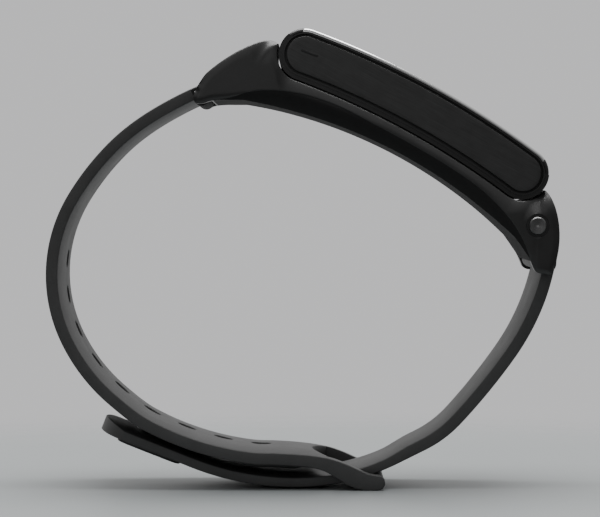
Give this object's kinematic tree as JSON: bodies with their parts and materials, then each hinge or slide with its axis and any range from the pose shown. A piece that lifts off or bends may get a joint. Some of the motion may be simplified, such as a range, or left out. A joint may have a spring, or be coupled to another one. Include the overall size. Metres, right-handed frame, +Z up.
{
  "type": "fitness tracker band",
  "caption": "Bent tracker capsule in a dark cradle with two rubber straps fastened into a ring by pegs through a loop, standing on its clasp.",
  "frame": {"origin": "on the floor under the middle of the closed band's bounding box", "axes": "+X along the ring toward the lower end of the capsule, +Y across the strap away from the side key, +Z up"},
  "size_m": [0.0718, 0.022, 0.0646],
  "materials": {
    "strap_rubber": "satin moulded rubber",
    "pad_rubber": "satin moulded rubber",
    "tray_plastic": "satin",
    "capsule_plastic": "satin",
    "plate_metal": "brushed dark metal",
    "bezel_metal": "polished",
    "lens_gloss": "polished black",
    "button_metal": "turned face",
    "ring_plastic": "matt",
    "pin_steel": "plain",
    "clasp_metal": "satin dark",
    "board_green": "solder mask",
    "cell_foil": "foil",
    "contact_gold": "plated",
    "display_dark": "smooth"
  },
  "bodies": {
    "cradle": {"cradle_tray": "tray_plastic", "cradle_pad": "pad_rubber", "lug_pin_left": "pin_steel", "lug_pin_right": "pin_steel", "button_bushing_near": "ring_plastic", "button_bushing_far": "ring_plastic", "hole_strap": "strap_rubber", "peg_strap": "strap_rubber", "button_spring_near": "pin_steel", "button_spring_far": "pin_steel"},
    "capsule": {"capsule_frame": "capsule_plastic", "capsule_base": "capsule_plastic", "bezel": "bezel_metal", "display_lens": "lens_gloss", "display_module": "display_dark", "main_board": "board_green", "processor_shield": "pin_steel", "battery": "cell_foil", "vibration_motor": "pin_steel", "tact_switch": "ring_plastic", "microphone": "contact_gold", "contact_strip": "contact_gold", "base_screw_left": "pin_steel", "base_screw_right": "pin_steel", "side_trim_far": "plate_metal"},
    "side_key": {"side_key": "plate_metal"},
    "release_near": {"release_button_near": "button_metal", "latch_hook_near": "pin_steel"},
    "release_far": {"release_button_far": "button_metal", "latch_hook_far": "pin_steel"},
    "tail": {"strap_tail": "strap_rubber", "clasp_plate": "clasp_metal", "clasp_peg_inner": "pin_steel", "clasp_peg_outer": "pin_steel"}
  },
  "joints": [
    {"name": "capsule_lift", "type": "slide", "parent": "cradle", "child": "capsule", "axis": [0.4772, 0, 0.8788], "range_m": [0, 0.014], "deforming": ["latch_hook_near", "latch_hook_far"]},
    {"name": "release_button_near", "type": "slide", "parent": "cradle", "child": "release_near", "axis": [0, 1, 0], "range_m": [0, 0.0008], "stiffness_N_per_m": 1200, "springref_m": -0.0003, "deforming": ["button_spring_near"]},
    {"name": "release_button_far", "type": "slide", "parent": "cradle", "child": "release_far", "axis": [0, -1, 0], "range_m": [0, 0.0008], "stiffness_N_per_m": 1200, "springref_m": -0.0003, "deforming": ["button_spring_far"]},
    {"name": "side_key_press", "type": "slide", "parent": "capsule", "child": "side_key", "axis": [0, 1, 0], "range_m": [0, 0.0003], "stiffness_N_per_m": 1500, "springref_m": -0.0002},
    {"name": "tail_peel", "type": "hinge", "parent": "cradle", "child": "tail", "pos_m": [-0.00425, 0, 0.00122], "axis": [0, -1, 0], "range_deg": [0, 30]}
  ]
}
